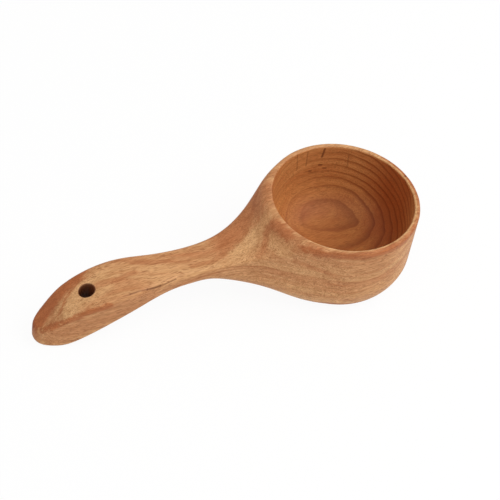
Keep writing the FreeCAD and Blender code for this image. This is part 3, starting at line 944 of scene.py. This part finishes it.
@dataclass(frozen=True)
class SandedRelief:
    """The slight waves that hand sanding leaves, because soft early wood wears faster than late wood.

    Attributes:
        length_mm: A wave's length, along the fibre.
        width_mm: Its width.
        height_mm: How deep its hollow sinks. The real ones are half as deep, and are drawn to show.
        seed: Picks the pattern.
    """

    length_mm: float = 30.0
    width_mm: float = 5.0
    height_mm: float = 0.12
    seed: float = 7.0

    def tree(self) -> bpy.types.NodeTree:
        """Make the Geometry Nodes tree that moves a surface along its normals.

        Returns:
            The tree, with its sizes as named inputs.
        """
        tree = bpy.data.node_groups.new("sanded relief", "GeometryNodeTree")
        face = tree.interface
        face.new_socket("Surface", in_out="INPUT", socket_type="NodeSocketGeometry")
        for name in ("Wave length", "Wave width", "Wave height", "Seed"):
            face.new_socket(name, in_out="INPUT", socket_type="NodeSocketFloat")
        face.new_socket("Finish", in_out="INPUT", socket_type="NodeSocketMaterial")
        face.new_socket("Surface", in_out="OUTPUT", socket_type="NodeSocketGeometry")
        given = tree.nodes.new("NodeGroupInput").outputs
        place = add_node(tree, "GeometryNodeInputPosition").outputs[0]
        size = add_node(tree, "ShaderNodeCombineXYZ", {
            0: given["Wave length"], 1: given["Wave width"], 2: given["Wave width"]}).outputs[0]
        drawn = add_node(tree, "ShaderNodeVectorMath", {0: place, 1: size},
                         operation="DIVIDE").outputs[0]
        noise = add_node(tree, "ShaderNodeTexNoise", {
            "Vector": drawn, "W": given["Seed"], "Scale": 1.0, "Detail": 1.0},
            noise_dimensions="4D").outputs[0]
        sunk = add_node(tree, "ShaderNodeMath", {0: noise, 1: 1.0}, operation="SUBTRACT").outputs[0]
        depth = add_node(tree, "ShaderNodeMath", {0: sunk, 1: given["Wave height"]},
                         operation="MULTIPLY").outputs[0]
        normal = add_node(tree, "GeometryNodeInputNormal").outputs[0]
        offset = add_node(tree, "ShaderNodeVectorMath", {0: normal, "Scale": depth},
                          operation="SCALE").outputs[0]
        moved = add_node(tree, "GeometryNodeSetPosition", {
            "Geometry": given["Surface"], "Offset": offset}).outputs[0]
        real = add_node(tree, "GeometryNodeRealizeInstances", {0: moved}).outputs[0]
        dressed = add_node(tree, "GeometryNodeSetMaterial", {
            "Geometry": real, "Material": given["Finish"]}).outputs[0]
        add_node(tree, "NodeGroupOutput", {0: dressed})
        return tree

    def apply(self, piece: bpy.types.Object, finish: bpy.types.Material) -> None:
        """Give a piece the relief and turn the result into its plain mesh.

        Args:
            piece: The piece.
            finish: Its material.
        """
        modifier = piece.modifiers.new("sanded relief", "NODES")
        modifier.node_group = self.tree()
        given = {"Wave length": self.length_mm * MM, "Wave width": self.width_mm * MM,
                 "Wave height": self.height_mm * MM, "Seed": self.seed, "Finish": finish}
        for socket in modifier.node_group.interface.items_tree:
            if socket.in_out == "INPUT" and socket.name in given:
                modifier[socket.identifier] = given[socket.name]
        view = bpy.context.evaluated_depsgraph_get()
        plain = bpy.data.meshes.new_from_object(piece.evaluated_get(view))
        piece.modifiers.remove(modifier)
        rough = piece.data
        piece.data = plain
        plain.name = piece.name
        bpy.data.meshes.remove(rough)


@dataclass
class Ladle:
    """The ladle as one fine mesh.

    Attributes:
        form: Its shape.
        relief: Its sanded surface.
        finish: Its wood.
    """

    form: CarvedForm = field(default_factory=CarvedForm)
    relief: SandedRelief = field(default_factory=SandedRelief)
    finish: OiledBeech = field(default_factory=OiledBeech)

    def carve(self) -> bpy.types.Object:
        """Build the mesh and dress it.

        Returns:
            The ladle's object.
        """
        corners, faces = SurfaceNet(self.form).build()
        mesh = bpy.data.meshes.new("carved_ladle")
        mesh.from_pydata((corners * MM).tolist(), [], faces.tolist())
        mesh.validate()
        mesh.shade_smooth()
        ladle = bpy.data.objects.new("carved_ladle", mesh)
        bpy.context.scene.collection.objects.link(ladle)
        self.relief.apply(ladle, self.finish.build())
        LOG.info("carved ladle: %d corners, %d quads", len(corners), len(faces))
        return ladle


@dataclass(frozen=True)
class Lamp:
    """A soft square lamp that faces the ladle.

    Attributes:
        name: The lamp's name.
        place: Where it is, in metres.
        size: Its side, in metres.
        power: Its power, in watts.
        aim: What it faces, in metres.
    """

    name: str
    place: tuple[float, float, float]
    size: float
    power: float
    aim: tuple[float, float, float] = (-0.04, 0, 0.02)

    def hang(self) -> None:
        """Add the lamp to the scene."""
        data = bpy.data.lights.new(self.name, "AREA")
        data.size = self.size
        data.energy = self.power
        lamp = bpy.data.objects.new(self.name, data)
        lamp.location = self.place
        towards = Vector(self.aim) - Vector(self.place)
        lamp.rotation_euler = towards.to_track_quat("-Z", "Y").to_euler()
        bpy.context.scene.collection.objects.link(lamp)


@dataclass
class Studio:
    """The pale floor, the lamps, the white surround and the camera.

    Attributes:
        azimuth: The camera's turn round the ladle, in degrees.
        elevation: How far it looks down.
        roll: How far it is turned in the picture.
        distance: How far it is from the rim's centre.
        focal_px: Its focal length in pixels of a 500-pixel picture.
        rim_px: Where the rim's centre is in that picture.
        rim_height: The rim's height.
        picture_px: The picture's width and height.
        sensor_mm: The camera's sensor width.
        floor_half: Half the floor's side, in metres.
        floor: The floor's colour.
        floor_glow: How much of the floor that the camera sees is plain white.
        surround: How bright the surround is as light, where what is seen of it is 1.
        lamps: The lamps.
    """

    azimuth: float = 33.123
    elevation: float = 46.662
    roll: float = 10.684
    distance: float = 924.78
    focal_px: float = 1700.0
    rim_px: tuple[float, float] = (343.96, 196.94)
    rim_height: float = CarvedForm.cup_height
    picture_px: int = 500
    sensor_mm: float = 36.0
    floor_half: float = 3.0
    floor: str = "#FBFAF8"
    floor_glow: float = 0.94
    surround: float = 0.5
    lamps: tuple[Lamp, ...] = (
        Lamp("key lamp", (0.55, -0.33, 0.93), 0.9, 8.4),
        Lamp("fill lamp", (-0.8, -0.3, 1.0), 1.2, 2.5))

    def place_camera(self) -> None:
        """Put the camera where the picture was taken from."""
        turn, down, roll = (math.radians(a) for a in (self.azimuth, self.elevation, self.roll))
        right = Vector((math.cos(turn), -math.sin(turn), 0))
        ahead = Vector((math.sin(turn), math.cos(turn), 0))
        up = Vector((0, 0, 1))
        look = ahead * math.cos(down) - up * math.sin(down)
        below = -ahead * math.sin(down) - up * math.cos(down)
        across = right * math.cos(roll) - below * math.sin(roll)
        downward = right * math.sin(roll) + below * math.cos(roll)
        middle = self.picture_px / 2
        shift = [(at - middle) * self.distance / self.focal_px for at in self.rim_px]
        place = up * self.rim_height - look * self.distance
        place = (place - across * shift[0] - downward * shift[1]) * MM
        frame = Matrix((across, -downward, -look)).transposed().to_4x4()
        frame.translation = place
        data = bpy.data.cameras.new("camera")
        data.sensor_width = self.sensor_mm
        data.lens = self.focal_px * self.sensor_mm / self.picture_px
        data.clip_start = 0.01
        camera = bpy.data.objects.new("camera", data)
        camera.matrix_world = frame
        bpy.context.scene.collection.objects.link(camera)
        bpy.context.scene.camera = camera

    def lay_floor(self) -> None:
        """Lay a pale floor that keeps a faint shadow, and shows as white to camera and shine."""
        mesh = bpy.data.meshes.new("floor")
        half = self.floor_half
        mesh.from_pydata([(-half, -half, 0), (half, -half, 0), (half, half, 0), (-half, half, 0)],
                         [], [(0, 1, 2, 3)])
        material = bpy.data.materials.new("pale floor")
        material.use_nodes = True
        tree = material.node_tree
        tree.nodes.clear()
        matt = add_node(tree, "ShaderNodeBsdfDiffuse", {"Color": linear(self.floor)}).outputs[0]
        glow = add_node(tree, "ShaderNodeEmission", {"Color": (1, 1, 1, 1), "Strength": 1.0}).outputs[0]
        path = add_node(tree, "ShaderNodeLightPath").outputs
        seen = add_node(tree, "ShaderNodeMath", {0: path["Is Camera Ray"], 1: self.floor_glow},
                        operation="MULTIPLY").outputs[0]
        seen = add_node(tree, "ShaderNodeMath", {0: seen, 1: path["Is Glossy Ray"]},
                        operation="MAXIMUM").outputs[0]
        both = add_node(tree, "ShaderNodeMixShader", {0: seen, 1: matt, 2: glow}).outputs[0]
        add_node(tree, "ShaderNodeOutputMaterial", {0: both})
        mesh.materials.append(material)
        floor = bpy.data.objects.new("floor", mesh)
        bpy.context.scene.collection.objects.link(floor)

    def light_world(self) -> None:
        """Surround the ladle with even white light, and show white behind it."""
        world = bpy.data.worlds.new("studio")
        bpy.context.scene.world = world
        world.use_nodes = True
        tree = world.node_tree
        tree.nodes.clear()
        path = add_node(tree, "ShaderNodeLightPath").outputs
        seen = add_node(tree, "ShaderNodeMath", {
            0: path["Is Camera Ray"], 1: path["Is Glossy Ray"]}, operation="MAXIMUM").outputs[0]
        seen = add_node(tree, "ShaderNodeMath", {
            0: seen, 1: path["Is Transmission Ray"]}, operation="MAXIMUM").outputs[0]
        strength = add_node(tree, "ShaderNodeMapRange", {0: seen, 3: self.surround, 4: 1.0}).outputs[0]
        glow = add_node(tree, "ShaderNodeBackground", {
            "Color": (1, 1, 1, 1), "Strength": strength}).outputs[0]
        add_node(tree, "ShaderNodeOutputWorld", {0: glow})

    def build(self) -> None:
        """Set up floor, lamps, surround and camera."""
        bpy.context.scene.view_settings.view_transform = "Standard"
        self.lay_floor()
        self.light_world()
        for lamp in self.lamps:
            lamp.hang()
        self.place_camera()


def main() -> None:
    """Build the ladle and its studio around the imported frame."""
    logging.basicConfig(level=logging.INFO, format="%(name)s: %(message)s")
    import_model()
    ladle = Ladle().carve()
    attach(ladle, "root")
    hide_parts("ladle")
    Studio().build()


if __name__ == "__main__":
    main()
